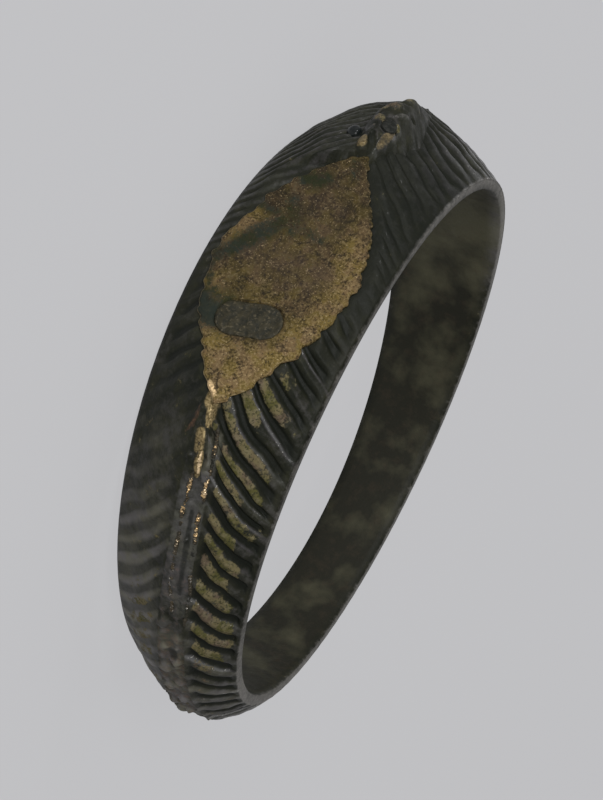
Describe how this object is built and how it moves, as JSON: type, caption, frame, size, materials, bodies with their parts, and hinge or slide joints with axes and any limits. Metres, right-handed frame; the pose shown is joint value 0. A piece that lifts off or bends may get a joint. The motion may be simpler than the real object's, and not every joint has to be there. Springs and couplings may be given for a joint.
{
  "type": "finger ring",
  "caption": "Cast finger ring with a flat pointed field, a small bead-eyed head, a beaded ridge and herringbone ribs on both flanks.",
  "frame": {"origin": "on the bore's axis, level with the middle of the hoop", "axes": "+Z along the bore, towards the rim nearer the viewer in the picture; -Y towards the bezel's flat field; +X towards the beaded shoulder"},
  "size_m": [0.0216, 0.0212, 0.006],
  "materials": {
    "dark_patina": "dark green-grey patina, glossy where it is rubbed",
    "bare_alloy": "pitted bare copper alloy, matte with small bright grains",
    "dark_fill": "dull dark green-grey mineral fill",
    "dark_glass": "near-black glassy bead",
    "worn_wire": "dark patina with golden wear on the beads"
  },
  "bodies": {
    "root": {"hoop": "dark_patina", "bezel_plate": "bare_alloy", "bezel_fill": "dark_fill", "eye_bead_left": "dark_glass", "eye_bead_right": "dark_glass", "spine_wire_left": "worn_wire", "spine_wire_right": "worn_wire"}
  },
  "joints": []
}
